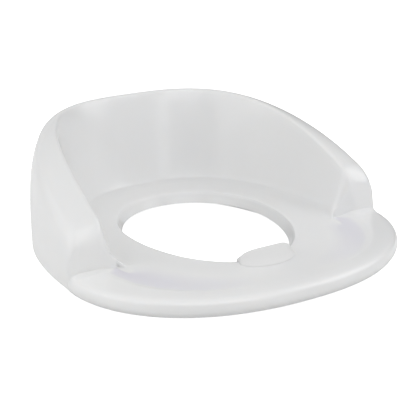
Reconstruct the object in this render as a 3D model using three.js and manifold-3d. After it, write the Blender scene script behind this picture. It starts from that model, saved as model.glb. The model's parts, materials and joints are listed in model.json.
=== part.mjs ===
// Child's toilet support seat: a moulded ring seat with a wrap-round back and arms, which sits on an
// ordinary toilet seat. Millimetres, -Y to the front, +X to the right seen from the front, +Z up. The
// origin is under the middle of the seat, at the height of the foot of the locating skirt.
import * as THREE from 'three';
import { ParametricGeometry } from 'three/addons/geometries/ParametricGeometry.js';
import { mergeVertices } from 'three/addons/utils/BufferGeometryUtils.js';
import Module from 'manifold-3d';

// ---- driving dimensions ----

// Plan outlines. Each is an egg: half width, front reach, back reach, centre line y, and the
// exponents of its front and back halves (2 is an ellipse, more is squarer).
const LIP = { half: 77.7, front: 109.9, back: 84.6, y: 12.9, nFront: 2, nBack: 2 };
const CREASE = { half: 118.7, front: 100, back: 169.4, y: -37.6, nFront: 2.3, nBack: 2.48 };
const CREST = { half: 134.7, front: 150, back: 229.8, y: -72.1, nFront: 2.17, nBack: 2.8 };
const BASE = { half: 167.3, front: 132.8, back: 197.8, y: -32.5, nFront: 2.23, nBack: 2.34 };
const SKIRT = { half: 108, front: 150, back: 146, y: 0, nFront: 2.4, nBack: 2.4 };
const PLATE_IN = { ...LIP, half: LIP.half + 13, back: LIP.back + 13 };
const SCREW_RING = { ...LIP, half: LIP.half + 20, front: LIP.front - 2.4, back: LIP.back + 20 };

const HUB_Y = -49.5;            // the arms' front faces lie on this line
const WALL = 2.8;               // moulding thickness
const RIM_Z = 12;               // underside of the rim, above the foot of the locating skirt
const HOLE_BOTTOM_Z = 17;       // lower edge of the wall round the hole
const HOLE_DRAFT = 4.6;         // how far that wall leans in
const LIP_Z = 27.8;             // top of the ring round the hole
const CREST_FRONT_Z = 64.6;     // top of an arm at its front end
const CREST_BACK_Z = 121.5;     // top of the back
const CREST_POWER = 0.88;       // how early the top line rises along an arm
const VALLEY_DEPTH = 3.4;       // dip round the ring in front of each arm
const VALLEY_FADE = 1.5;        // how soon it fades towards the front
const DOME_POWER = 3.85;        // how square the outside of the wall is
const FOOT_ROLL = 2.4;          // how far the rim's lower edge rolls under
const ARM_RADIUS = 14;          // round at the top of an arm's front face
const ARM_FOOT = 3;             // fillet at its foot
const ARM_LEAN = 1.5;           // how far the face leans back
const ARM_CORNER = 6;           // how far its upright edges are rounded back
const RING_BLEND = 24;          // the ring changes section over this distance either side of the face

const PLATE_Z = 14;             // underside of the frame under the ring
const PLATE_T = 2.6;
const PLATE_TOP = PLATE_Z + PLATE_T;
const SKIRT_T = 2.6;
const SKIRT_START = THREE.MathUtils.degToRad(-20); // the locating skirt runs round the back from here
const GAP = 0.3;                // clearance between neighbouring pieces

const BOSS_R = 4;
const PILOT_DEPTH = 8;
const RIB_T = 1.8;
const SCREW_R = 1.45;
const SCREW_HEAD_R = 3.2;
const SCREW_HEAD_H = 1.8;

const MODULE_MM = 1;            // gear module of the adjuster
const PINION_TEETH = 10;
const PITCH_R = MODULE_MM * PINION_TEETH / 2;
const TOOTH_TIP = 0.85 * MODULE_MM;     // tooth height outside the pitch line
const TOOTH_ROOT = 1.2 * MODULE_MM;     // and depth inside it
const BACKLASH = 0.12;
const TIP_PLAY = 0.5;
const PRESSURE_ANGLE = THREE.MathUtils.degToRad(25);
const TRAVEL = 18;              // forward travel of the adjuster
const PINION_Y = -134.5;
const PINION_H = 5;
const KNOB_R = 15;
const KNOB_Z = 5.5;
const KNOB_H = 8.1;
const KNOB_RECESS = 3;          // counterbore for the knob's washer and screw
const YOKE_T = 4.2;
const YOKE_Z = PLATE_TOP + 0.4;
const YOKE_HALF = 17;           // half width of the sliding block
const LEG_X = 46;               // the adjuster's two feet
const LEG_BACK_Y = -95;
const LEG_DEPTH = 12;
const LEG_HALF = 9;
const LEG_LOW_Z = 3;
const SHOE_WALL = 1.5;
const SHOE_Z = 1;
const SHOE_H = 11.5;

const GUARD_TURN = THREE.MathUtils.degToRad(19); // the guard reaches this far round the hole each way
const GUARD_BLUNT = 2.6;        // how square its ends are
const GUARD_T = 2.3;
const GUARD_TONGUE_HALF = 21;
const TONGUE_INSET = HOLE_DRAFT + 0.5; // its tongue hangs this far inside the lip
const TONGUE_TOP_Z = 26;
const GUARD_LOW_Z = PLATE_TOP + GAP;
const GUARD_FOOT_Z = LIP_Z + GAP;
const GUARD_RIDGE = 6.2;        // its top edge stands this far outside the lip
const GUARD_EDGE = -1.3;        // and the inner edge of its foot this far inside

const PAD_Z = 11.2;             // grip pads stand just below the rim
const PAD_T = 2.5;

// ---- materials ----

const paint = (color, roughness, metalness = 0) => (
  new THREE.MeshStandardMaterial({ color, roughness, metalness }));
const pearl = () => paint(0xe6e6e4, 0.32);
const guardPearl = () => paint(0xe9e8e3, 0.3);
const whitePolymer = () => paint(0xdcdcda, 0.5);
const greyRubber = () => paint(0xa9adb0, 0.8);
const steel = () => paint(0xb8babd, 0.35, 1);

const wasm = await Module();
wasm.setup();

// ---- plan outlines ----

const signedPower = (v, power) => Math.sign(v) * Math.abs(v) ** power;

// Whether a point is inside an egg: below 1 inside, above 1 outside.
function eggValue(egg, x, y) {
  const front = y < egg.y;
  const reach = front ? egg.front : egg.back;
  const n = front ? egg.nFront : egg.nBack;
  return Math.abs(x / egg.half) ** n + Math.abs((y - egg.y) / reach) ** n;
}

// Distance from (0, HUB_Y) to an egg along the direction angle.
function reach(egg, angle) {
  let low = 0;
  let high = 400;
  for (let step = 0; step < 40; step += 1) {
    const mid = (low + high) / 2;
    const inside = eggValue(egg, mid * Math.cos(angle), HUB_Y + mid * Math.sin(angle)) < 1;
    if (inside) low = mid;
    else high = mid;
  }
  return low;
}

// A point on an egg, moved outwards by grow.
function eggPoint(egg, angle, grow = 0) {
  const front = Math.sin(angle) < 0;
  const n = front ? egg.nFront : egg.nBack;
  const depth = front ? egg.front : egg.back;
  const x = (egg.half + grow) * signedPower(Math.cos(angle), 2 / n);
  const y = egg.y + (depth + grow) * signedPower(Math.sin(angle), 2 / n);
  return new THREE.Vector2(x, y);
}

function arc(from, to, steps, at) {
  const points = [];
  for (let i = 0; i <= steps; i += 1) points.push(at(from + (to - from) * i / steps));
  return points;
}

const eggLoop = (egg, grow, steps) => (
  arc(0, 2 * Math.PI * (1 - 1 / steps), steps - 1, (a) => eggPoint(egg, a, grow)));

// ---- solids ----

function toSolid(geometry) {
  const bare = geometry.clone();
  bare.deleteAttribute('normal');
  bare.deleteAttribute('uv');
  const merged = mergeVertices(bare, 1e-4);
  return new wasm.Manifold(new wasm.Mesh({
    numProp: 3,
    vertProperties: merged.attributes.position.array,
    triVerts: merged.index.array,
  }));
}

function toGeometry(solid) {
  const mesh = solid.getMesh();
  const geometry = new THREE.BufferGeometry();
  geometry.setAttribute('position', new THREE.BufferAttribute(mesh.vertProperties, 3));
  geometry.setIndex(new THREE.BufferAttribute(mesh.triVerts, 1));
  geometry.computeVertexNormals();
  return geometry;
}

function extrude(points, zLow, height, holes = []) {
  const shape = new THREE.Shape(points);
  shape.holes = holes.map((hole) => new THREE.Path(hole));
  const geometry = new THREE.ExtrudeGeometry(shape, { depth: height, bevelEnabled: false, steps: 1 });
  return geometry.translate(0, 0, zLow);
}

function cylinder(radius, zLow, height, x = 0, y = 0, sides = 20) {
  const geometry = new THREE.CylinderGeometry(radius, radius, height, sides);
  return geometry.rotateX(Math.PI / 2).translate(x, y, zLow + height / 2);
}

function box(width, depth, height, x, y, zLow) {
  return new THREE.BoxGeometry(width, depth, height).translate(x, y, zLow + height / 2);
}

function lathe(points, sides = 20) {
  const profile = points.map(([r, z]) => new THREE.Vector2(r, z));
  return new THREE.LatheGeometry(profile, sides).rotateX(Math.PI / 2);
}

const addAll = (solid, geometries) => geometries.reduce((sum, g) => sum.add(toSolid(g)), solid);
const cutAll = (solid, geometries) => geometries.reduce((sum, g) => sum.subtract(toSolid(g)), solid);

const part = new THREE.Group();
part.name = 'toilet_support_seat';

function piece(name, geometry, material, x = 0, y = 0, z = 0) {
  const mesh = new THREE.Mesh(geometry, material);
  mesh.name = name;
  mesh.position.set(x, y, z);
  part.add(mesh);
}

// ---- seat shell ----

// Height of the top line where it passes y.
function crestHeight(y) {
  const backY = CREST.y + CREST.back;
  const along = THREE.MathUtils.clamp((y - HUB_Y) / (backY - HUB_Y), 0, 1);
  return CREST_FRONT_Z + (CREST_BACK_Z - CREST_FRONT_Z) * Math.sin(along * Math.PI / 2) ** CREST_POWER;
}

const FIRST_WALL_KNOT = 7;
const ARM_R = 145;              // the arms' front faces are laid out at this distance from the middle

// The wall round the hole and its rounded lip, which both sections start with.
const lipKnots = (h) => [
  [h - HOLE_DRAFT, HOLE_BOTTOM_Z],
  [h - 1.6, 22.5],
  [h + 0.4, 26.4],
  [h + 3.6, LIP_Z],
];

// The lower edge of the rim, which both sections end with.
const footKnots = (b) => [[b - 0.3, RIM_Z + 3.5], [b - FOOT_ROLL, RIM_Z]];

// Section through the ring and the wall behind it: distance from the hub, height.
function wallKnots(h, c, t, b, top) {
  const rise = top - LIP_Z;
  const knots = [
    ...lipKnots(h),
    [h + 0.5 * (c - h), LIP_Z + 0.3],
    [c - 10, LIP_Z + 0.6],
    [c - 3.6, LIP_Z + 2],
    [c + 0.6, LIP_Z + 6],
    [c + 0.3 * (t - c), LIP_Z + 0.32 * rise],
    [c + 0.62 * (t - c), LIP_Z + 0.7 * rise],
    [t - 3.8, top - 5.5],
    [t, top],
  ];
  for (const degrees of [18, 36, 54, 70, 84]) {
    const turn = THREE.MathUtils.degToRad(degrees);
    const out = Math.sin(turn) ** (2 / DOME_POWER);
    const up = Math.cos(turn) ** (2 / DOME_POWER);
    knots.push([t + (b - t) * out, RIM_Z + (top - RIM_Z) * up]);
  }
  return [...knots, ...footKnots(b)];
}

// Section through the ring and the rim in front of the arms.
function frontKnots(h, c, b, dip) {
  const rim = LIP_Z - 0.2;
  return [
    ...lipKnots(h),
    [h + 0.35 * (c - h), LIP_Z + 0.1],
    [h + 0.6 * (c - h), LIP_Z - 0.25 * dip],
    [h + 0.84 * (c - h), LIP_Z - 0.85 * dip],
    [c + 1, LIP_Z - dip],
    [c + 0.22 * (b - c), LIP_Z - 0.75 * dip],
    [c + 0.4 * (b - c), rim - 0.1 * dip],
    [c + 0.55 * (b - c), rim],
    [b - 11, rim - 0.1],
    [b - 6.5, rim - 0.5],
    [b - 3.2, rim - 1.6],
    [b - 1, rim - 4],
    [b, RIM_Z + 7.5],
    ...footKnots(b),
  ];
}

// Columns round one side, from the front centre line to the back: angle from the hub, how much of the
// wall stands there (0 to 1), and how far the surface faces forwards.
function sideColumns() {
  const armRise = CREST_FRONT_Z - LIP_Z;
  const columns = [];
  const at = (y, wall, facing) => columns.push({ angle: Math.atan2(y, ARM_R), wall, facing });
  const frontSteps = 15;
  const lastFront = -0.075;
  for (let i = 0; i <= frontSteps; i += 1) {
    const share = i / frontSteps;
    columns.push({ angle: -Math.PI / 2 + (Math.PI / 2 + lastFront) * share ** 0.92, wall: 0, facing: 0 });
  }
  at(-ARM_FOOT - 1, 0, 0);
  at(-ARM_FOOT * 0.35, ARM_FOOT * 0.35 / armRise, 0.7);
  at(0, ARM_FOOT / armRise, 1);
  at(ARM_LEAN, 1 - ARM_RADIUS / armRise, 1);
  for (const degrees of [22.5, 45, 67.5, 90]) {
    const turn = THREE.MathUtils.degToRad(degrees);
    const y = ARM_LEAN + ARM_RADIUS * (1 - Math.cos(turn));
    at(y, 1 - (ARM_RADIUS / armRise) * (1 - Math.sin(turn)), Math.cos(turn));
  }
  const backSteps = 18;
  const firstBack = columns[columns.length - 1].angle;
  for (let i = 1; i <= backSteps; i += 1) {
    columns.push({ angle: firstBack + (Math.PI / 2 - firstBack) * i / backSteps, wall: 1, facing: 0 });
  }
  return columns;
}

function allColumns() {
  const right = sideColumns();
  const left = right.slice(1, -1).reverse();
  return [...right, ...left.map((column) => ({ ...column, angle: Math.PI - column.angle }))];
}

function sectionAt({ angle, wall }) {
  const h = reach(LIP, angle);
  const c = reach(CREASE, angle);
  const t = reach(CREST, angle);
  const b = reach(BASE, angle);
  const top = crestHeight(HUB_Y + t * Math.sin(angle));
  const dip = VALLEY_DEPTH * Math.abs(Math.cos(angle)) ** VALLEY_FADE;
  const front = frontKnots(h, c, b, dip);
  const back = wallKnots(h, c, t, b, top);
  const ring = THREE.MathUtils.smoothstep(c * Math.sin(angle), -RING_BLEND, RING_BLEND);
  return front.map(([r, z], k) => {
    const share = k < FIRST_WALL_KNOT ? ring : wall;
    return [r + (back[k][0] - r) * share, z + (back[k][1] - z) * share];
  });
}

// How much of an arm's front face passes through each knot of the section.
function faceShare(k) {
  const climb = THREE.MathUtils.clamp((k - FIRST_WALL_KNOT + 1) / 2, 0, 1);
  const fall = THREE.MathUtils.clamp((17 - k) / 3, 0, 1);
  return Math.min(climb, fall);
}

// How far an arm's upright edges round back at each knot: the inner edge, then the outer one.
function cornerShare(k) {
  const inner = THREE.MathUtils.smoothstep(k, FIRST_WALL_KNOT - 1, FIRST_WALL_KNOT)
    * (1 - THREE.MathUtils.smoothstep(k, FIRST_WALL_KNOT, FIRST_WALL_KNOT + 3.5));
  const outer = 0.9 * THREE.MathUtils.smoothstep(k, 12, 16.5);
  return Math.max(inner, outer);
}

// Unit vector from the outer skin into the moulding, at one knot of a section.
function inwards(section, k) {
  const last = section.length - 1;
  if (k === 0) return [1, 0];
  if (k === last) return [-1, 0];
  const dr = section[k + 1][0] - section[k - 1][0];
  const dz = section[k + 1][1] - section[k - 1][1];
  const length = Math.hypot(dr, dz);
  return [dz / length, -dr / length];
}

function shellGeometry() {
  const columns = allColumns();
  const rings = columns.map((column) => {
    const section = sectionAt(column);
    const place = ([r, z], k) => new THREE.Vector3(
      r * Math.cos(column.angle),
      HUB_Y + r * Math.sin(column.angle) + ARM_CORNER * column.facing * cornerShare(k),
      z,
    );
    const outer = section.map(place);
    const inner = section.map(([r, z], k) => {
      const [nr, nz] = inwards(section, k);
      const facing = column.facing * faceShare(k);
      const across = WALL * Math.sqrt(1 - facing ** 2);
      const point = place([r + nr * across, z + nz * across], k);
      point.y += WALL * facing;
      return point;
    });
    return [...outer, ...inner.reverse()];
  });
  const rows = rings[0].length;
  const at = (u, v, target) => {
    const column = Math.round((1 - u) * columns.length) % columns.length;
    const row = Math.round(v * rows) % rows;
    target.copy(rings[column][row]);
  };
  return new ParametricGeometry(at, columns.length, rows);
}

// Places of the frame's screws, seen from the middle of the hole.
const SCREW_ANGLES = [-38, 8, 52, 128, 172, 218];
const screwPlace = (degrees) => eggPoint(SCREW_RING, THREE.MathUtils.degToRad(degrees));

const RIB_ANGLES = [30, 72, 90, 108, 150];

function seatShell() {
  const low = PLATE_TOP + GAP;
  const top = LIP_Z - 1;
  const places = SCREW_ANGLES.map(screwPlace);
  const bosses = places.map(({ x, y }) => cylinder(BOSS_R, low, top - low, x, y, 16));
  const pilots = places.map(({ x, y }) => cylinder(SCREW_R + GAP, low - 1, PILOT_DEPTH + 1, x, y, 12));
  const ribs = RIB_ANGLES.map((degrees) => {
    const angle = THREE.MathUtils.degToRad(degrees);
    const a = eggPoint(LIP, angle, 3.5);
    const b = eggPoint(CREASE, angle, -4);
    const rib = new THREE.BoxGeometry(a.distanceTo(b), RIB_T, top - low);
    rib.rotateZ(Math.atan2(b.y - a.y, b.x - a.x));
    return rib.translate((a.x + b.x) / 2, (a.y + b.y) / 2, (top + low) / 2);
  });
  return toGeometry(cutAll(addAll(toSolid(shellGeometry()), [...bosses, ...ribs]), pilots));
}

piece('seat_shell', seatShell(), pearl());

// ---- splash guard ----

// Solid through a row of closed sections, with flat ends.
function loft(sections) {
  const count = sections[0].length;
  const rows = sections.length;
  const side = (row, k) => row * count + k % count;
  const index = [];
  for (let row = 0; row < rows - 1; row += 1) {
    for (let k = 0; k < count; k += 1) {
      index.push(side(row, k), side(row, k + 1), side(row + 1, k + 1));
      index.push(side(row, k), side(row + 1, k + 1), side(row + 1, k));
    }
  }
  const flat = sections[0].map((p) => new THREE.Vector2(p.y, p.z));
  const last = (rows - 1) * count;
  for (const face of THREE.ShapeUtils.triangulateShape(flat, [])) {
    const withOutline = THREE.ShapeUtils.area(face.map((k) => flat[k])) * THREE.ShapeUtils.area(flat) > 0;
    const [a, b, c] = withOutline ? face : [...face].reverse();
    index.push(c, b, a, last + a, last + b, last + c);
  }
  const geometry = new THREE.BufferGeometry().setFromPoints(sections.flat());
  geometry.setIndex(index);
  return geometry;
}

// A strip of the hole's front edge, inset from the lip, between two insets and out to half each way.
function holeBand(insetOut, insetIn, half, steps) {
  const side = (inset, x) => {
    const share = x / (LIP.half - inset);
    return new THREE.Vector2(x, LIP.y - (LIP.front - inset) * Math.sqrt(1 - share * share));
  };
  const outer = arc(-half, half, steps, (x) => side(insetOut, x));
  const inner = arc(half, -half, steps, (x) => side(insetIn, x));
  return [...outer, ...inner];
}

// The guard's section at its middle, as distance outside the lip and height: up the side towards the
// hole, over the ridge, down the sloping front and back along the ring.
const GUARD_OUTSIDE = [
  [-6.9, 24.2], [-6.4, 26.5], [-2.6, 31.5], [2.6, 37.6], [4.6, 40.2], [GUARD_RIDGE, 41], [7.8, 40.3],
  [9.4, 37.8], [11.2, 34.6], [13.4, 31.6], [16, 29.4], [18.5, GUARD_FOOT_Z + 0.05],
  [3.5, GUARD_FOOT_Z + 0.05], [0.1, 26.75], [GUARD_EDGE, 24.2],
];
const GUARD_HOLLOW = [
  [-4.6, 22], [-4.2, 26.2], [-1, 30.6], [4.6, 37.2], [6.2, 38.2], [7.6, 36.4], [9, 32.8], [10.8, 30.2],
  [13, 28.3], [13, 22],
];

// Sections of the guard from one end to the other, which shrink to the ring like a dome.
function guardSections(profile, reachShare, steps) {
  return arc(-reachShare, reachShare, steps, (share) => {
    const size = (1 - Math.abs(share) ** GUARD_BLUNT) ** (1 / GUARD_BLUNT);
    const angle = -Math.PI / 2 + GUARD_TURN * share;
    return profile.map(([out, z]) => {
      const kept = THREE.MathUtils.clamp(out, GUARD_EDGE, GUARD_RIDGE);
      const outNow = kept + (out - kept) * size;
      const zNow = z > GUARD_FOOT_Z ? GUARD_FOOT_Z + (z - GUARD_FOOT_Z) * size : z;
      const { x, y } = eggPoint(LIP, angle, outNow);
      return new THREE.Vector3(x, y, zNow);
    });
  });
}

// A hollow ridge that sits over the lip, with a tongue that drops inside the hole into the frame's pocket.
function splashGuard() {
  const band = holeBand(TONGUE_INSET, TONGUE_INSET + GUARD_T, GUARD_TONGUE_HALF, 16);
  const tongue = extrude(band, GUARD_LOW_Z, TONGUE_TOP_Z - GUARD_LOW_Z);
  const ridge = toSolid(loft(guardSections(GUARD_OUTSIDE, 0.99, 30)));
  const hollow = loft(guardSections(GUARD_HOLLOW, 0.76, 20));
  return toGeometry(addAll(cutAll(ridge, [hollow]), [tongue]));
}

piece('splash_guard', splashGuard(), guardPearl());

// ---- frame under the ring ----

const capsule = (length, radius, steps = 6) => [
  ...arc(-Math.PI / 2, Math.PI / 2, steps, (a) => new THREE.Vector2(
    length / 2 - radius + radius * Math.cos(a), radius * Math.sin(a))),
  ...arc(Math.PI / 2, 3 * Math.PI / 2, steps, (a) => new THREE.Vector2(
    radius - length / 2 + radius * Math.cos(a), radius * Math.sin(a))),
];

// The four corners that carry a grip pad: centre and the direction of its length.
const PAD_PLACES = [
  { name: 'front_right', x: 97, y: -118, turn: 50 },
  { name: 'front_left', x: -97, y: -118, turn: -50 },
  { name: 'rear_right', x: 114, y: 92, turn: -62 },
  { name: 'rear_left', x: -114, y: 92, turn: 62 },
];
const PAD_LENGTH = 46;
const PAD_HALF = 8;
const STEM_R = 2.9;
const ARM_BAR = 44;

function turned(geometry, degrees, x, y) {
  return geometry.rotateZ(THREE.MathUtils.degToRad(degrees)).translate(x, y, 0);
}

// A pad's seat and the bar that joins it to the plate.
function arm(place) {
  const towards = THREE.MathUtils.radToDeg(Math.atan2(place.y, place.x));
  const bar = extrude(capsule(ARM_BAR, 9), PLATE_Z, PLATE_T);
  const share = 1 - (ARM_BAR / 2 - 4) / Math.hypot(place.x, place.y);
  const seat = extrude(capsule(PAD_LENGTH + 3, PAD_HALF + 1.5), PLATE_Z, PLATE_T);
  return [turned(bar, towards, place.x * share, place.y * share), turned(seat, place.turn, place.x, place.y)];
}

function skirtLoop(grow, steps) {
  return arc(SKIRT_START, Math.PI - SKIRT_START, steps, (a) => eggPoint(SKIRT, a, grow));
}

function skirtBand(growOut, growIn, zLow, height, steps = 44) {
  return extrude([...skirtLoop(growOut, steps), ...skirtLoop(growIn, steps).reverse()], zLow, height);
}

// The pocket for the guard's tongue: a low wall inside it and a floor that joins the wall to the plate.
const POCKET_INSET = TONGUE_INSET + GUARD_T + 0.4;
const POCKET_T = 1.8;
const POCKET_HALF = GUARD_TONGUE_HALF + 3;
const POCKET_H = 9;
const POCKET_OVERLAP = 6;

function pocketWall() {
  const inner = POCKET_INSET + POCKET_T;
  const wall = extrude(holeBand(POCKET_INSET, inner, POCKET_HALF, 14), PLATE_Z, POCKET_H);
  const floor = extrude(holeBand(-POCKET_OVERLAP, inner, POCKET_HALF, 14), PLATE_Z, PLATE_T);
  return [wall, floor];
}

const COVER_SCREW_X = 20.8;
const COVER_SCREW_Y = -147;
const KNOB_HOLE_R = 3.45;
const SCREW_HOLE_R = SCREW_R + 0.35;
const SPRING_Y = PINION_Y + KNOB_R + 2.6;
const SPRING_POST_X = 14;
const SLOT_PLAY = 0.6;
const HOLE_TO_PLATE = 12;       // the plate's front inner edge, seen from the foot of the hole's wall

function legSlot(side) {
  const depth = LEG_DEPTH + TRAVEL + 2 * SLOT_PLAY;
  const y = LEG_BACK_Y + SLOT_PLAY - depth / 2;
  return box(2 * LEG_HALF + 0.8, depth, 10, side * LEG_X, y, PLATE_Z - 3);
}

function baseFrame() {
  const plate = extrude(eggLoop(SKIRT, 0, 72), PLATE_Z, PLATE_T, [eggLoop(PLATE_IN, 0, 60)]);
  const arms = PAD_PLACES.flatMap(arm);
  const posts = [-1, 1].map((side) => box(4, 5, 8, side * SPRING_POST_X, SPRING_Y + 3.2, PLATE_Z - 7.5));
  const added = [skirtBand(0, -SKIRT_T, 0, PLATE_Z + 1), ...arms, ...pocketWall(), ...posts];
  const drill = (radius, sides) => ({ x, y }) => cylinder(radius, PLATE_Z - 1, PLATE_T + 3.4, x, y, sides);
  const screwHoles = SCREW_ANGLES.map(screwPlace).map(drill(SCREW_HOLE_R, 12));
  const coverPlaces = [-1, 1].map((side) => ({ x: side * COVER_SCREW_X, y: COVER_SCREW_Y }));
  const coverHoles = coverPlaces.map(drill(SCREW_HOLE_R, 12));
  const stemHoles = PAD_PLACES.map(drill(STEM_R + GAP, 14));
  const frontReach = LIP.front - HOLE_DRAFT - HOLE_TO_PLATE;
  const hole = extrude(eggLoop({ ...PLATE_IN, front: frontReach }, 0, 60), PLATE_Z - 1, 30);
  const cuts = [
    ...screwHoles, ...coverHoles, ...stemHoles, legSlot(-1), legSlot(1),
    drill(KNOB_HOLE_R, 24)({ x: 0, y: PINION_Y }),
  ];
  return toGeometry(cutAll(addAll(toSolid(plate).subtract(toSolid(hole)), added), cuts));
}

piece('base_frame', baseFrame(), whitePolymer());

// ---- screws ----

function screw(length) {
  const head = SCREW_HEAD_H;
  return lathe([
    [0, 0], [SCREW_HEAD_R - 0.5, 0], [SCREW_HEAD_R, 0.6], [SCREW_HEAD_R, head], [SCREW_R, head],
    [SCREW_R, length - 1], [0.5, length], [0, length],
  ], 12);
}

const SCREW_Z = PLATE_Z - GAP - SCREW_HEAD_H;
SCREW_ANGLES.map(screwPlace).forEach(({ x, y }, i) => {
  piece(`frame_screw_${i + 1}`, screw(11), steel(), x, y, SCREW_Z);
});

// ---- grip pads ----

function gripPad() {
  const pad = toSolid(extrude(capsule(PAD_LENGTH, PAD_HALF), PAD_Z, PAD_T));
  return toGeometry(addAll(pad, [cylinder(STEM_R, PAD_Z + 1, PLATE_TOP + 1.4 - PAD_Z - 1, 0, 0, 14)]));
}

for (const place of PAD_PLACES) {
  const pad = gripPad().rotateZ(THREE.MathUtils.degToRad(place.turn));
  piece(`grip_pad_${place.name}`, pad, greyRubber(), place.x, place.y, 0);
}

// Soft strips round the outside of the locating skirt, one on each side.
const BUMPER_START = THREE.MathUtils.degToRad(7);
const BUMPER_END = THREE.MathUtils.degToRad(71.6);
const BUMPER_OUT = 2.2;
const BUMPER_Z = 3;
const BUMPER_H = 7;

function bumper(side) {
  const half = (grow) => arc(BUMPER_START, BUMPER_END, 18, (a) => eggPoint(SKIRT, a, grow));
  const points = [...half(BUMPER_OUT), ...half(GAP).reverse()];
  const placed = side > 0 ? points : points.map((p) => new THREE.Vector2(-p.x, p.y)).reverse();
  return extrude(placed, BUMPER_Z, BUMPER_H);
}

piece('skirt_bumper_right', bumper(1), greyRubber());
piece('skirt_bumper_left', bumper(-1), greyRubber());

// ---- adjuster: knob, pinion, sliding yoke with its two feet, and cover ----

// One side of an involute tooth, from the root to the tip, as polar points about the tooth's centre line.
function pinionOutline() {
  const baseR = PITCH_R * Math.cos(PRESSURE_ANGLE);
  const tipR = PITCH_R + TOOTH_TIP;
  const rootR = PITCH_R - TOOTH_ROOT;
  const involute = (r) => {
    const turn = Math.sqrt(Math.max(0, (r / baseR) ** 2 - 1));
    return turn - Math.atan(turn);
  };
  const halfTooth = Math.PI / 2 / PINION_TEETH - BACKLASH / PITCH_R + involute(PITCH_R);
  const radii = [rootR, baseR, PITCH_R, PITCH_R + TOOTH_TIP / 2, tipR];
  const flank = radii.map((r) => [r, halfTooth - involute(r)]);
  const points = [];
  for (let tooth = 0; tooth < PINION_TEETH; tooth += 1) {
    const centre = 2 * Math.PI * tooth / PINION_TEETH;
    const at = (r, angle) => new THREE.Vector2(r * Math.cos(angle), r * Math.sin(angle));
    points.push(...flank.map(([r, a]) => at(r, centre - a)));
    points.push(...[...flank].reverse().map(([r, a]) => at(r, centre + a)));
  }
  return points;
}

const PINION_Z = YOKE_Z - 0.1;
const COVER_Z = PINION_Z + PINION_H + GAP;
const COVER_T = 1.5;

function pinionShaft() {
  const gear = toSolid(extrude(pinionOutline(), PINION_Z, PINION_H));
  const lowerEnd = KNOB_Z + KNOB_RECESS + 1.4;
  return toGeometry(addAll(gear, [
    cylinder(KNOB_HOLE_R - 0.15, lowerEnd, PINION_Z - lowerEnd + 0.5, 0, 0, 24),
    cylinder(2, PINION_Z + PINION_H - 0.5, COVER_T + GAP + 0.3, 0, 0, 16),
  ]).subtract(toSolid(cylinder(SCREW_R + GAP, lowerEnd - 1, 8, 0, 0, 12))));
}

piece('pinion_shaft', pinionShaft(), whitePolymer(), 0, PINION_Y, 0);

// Knurled knob with a socket for the shaft and a counterbore for its screw.
function knob() {
  const ribs = 30;
  const points = arc(0, 2 * Math.PI * (1 - 1 / (2 * ribs)), 2 * ribs - 1, (a) => {
    const crest = Math.round(a / (Math.PI / ribs)) % 2 === 0;
    const r = crest ? KNOB_R : KNOB_R - 0.9;
    return new THREE.Vector2(r * Math.cos(a), r * Math.sin(a));
  });
  const body = toSolid(extrude(points, KNOB_Z, KNOB_H));
  return toGeometry(cutAll(body, [
    cylinder(KNOB_HOLE_R - 0.15 + GAP, KNOB_Z + KNOB_RECESS + 1.1, KNOB_H, 0, 0, 24),
    cylinder(SCREW_R + 0.4, KNOB_Z + 1, 5, 0, 0, 14),
    cylinder(6, KNOB_Z - 1, KNOB_RECESS + 1, 0, 0, 24),
    lathe([[9, KNOB_Z - 1], [13, KNOB_Z - 1], [13, KNOB_Z + 1], [9, KNOB_Z + 1], [9, KNOB_Z - 1]], 30),
  ]));
}

piece('adjuster_knob', knob(), greyRubber(), 0, PINION_Y, 0);

const washer = lathe([[SCREW_R + 0.4, 0], [5, 0], [5, 0.6], [SCREW_R + 0.4, 0.6], [SCREW_R + 0.4, 0]], 20);
const WASHER_Z = KNOB_Z + KNOB_RECESS - GAP - 0.6;
piece('knob_washer', washer, steel(), 0, PINION_Y, WASHER_Z);
piece('knob_screw', screw(9), steel(), 0, PINION_Y, WASHER_Z - GAP - SCREW_HEAD_H);

const RACK_TIP = 0.8 * MODULE_MM;
const RACK_ROOT = 1.15 * MODULE_MM;
const RACK_X = PITCH_R + RACK_ROOT;     // the rack's root line

// Rack side of the slot in the yoke, as x against y about the pinion at rest.
function rackPoints(fromY, toY) {
  const pitch = Math.PI * MODULE_MM;
  const tipX = PITCH_R - RACK_TIP;
  const lean = Math.tan(PRESSURE_ANGLE);
  const halfPitchLine = pitch / 4 - BACKLASH;
  const tipHalf = halfPitchLine - RACK_TIP * lean;
  const rootHalf = halfPitchLine + RACK_ROOT * lean;
  const points = [];
  for (let k = 0; (k + 0.5) * pitch + rootHalf < toY - fromY + 2; k += 1) {
    const y = fromY + (k + 0.5) * pitch;
    points.push([RACK_X, y - rootHalf], [tipX, y - tipHalf], [tipX, y + tipHalf], [RACK_X, y + rootHalf]);
  }
  return points;
}

const SLOT_HALF = PITCH_R + TOOTH_TIP + TIP_PLAY;
const SLOT_FRONT_Y = PINION_Y - SLOT_HALF;
const YOKE_BAR = 2.5;
const YOKE_FRONT_Y = SLOT_FRONT_Y - YOKE_BAR;
const YOKE_SHOULDER_Y = -120;
const YOKE_REAR_Y = -111;
const YOKE_ARM_SLOPE = 0.42;

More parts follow.
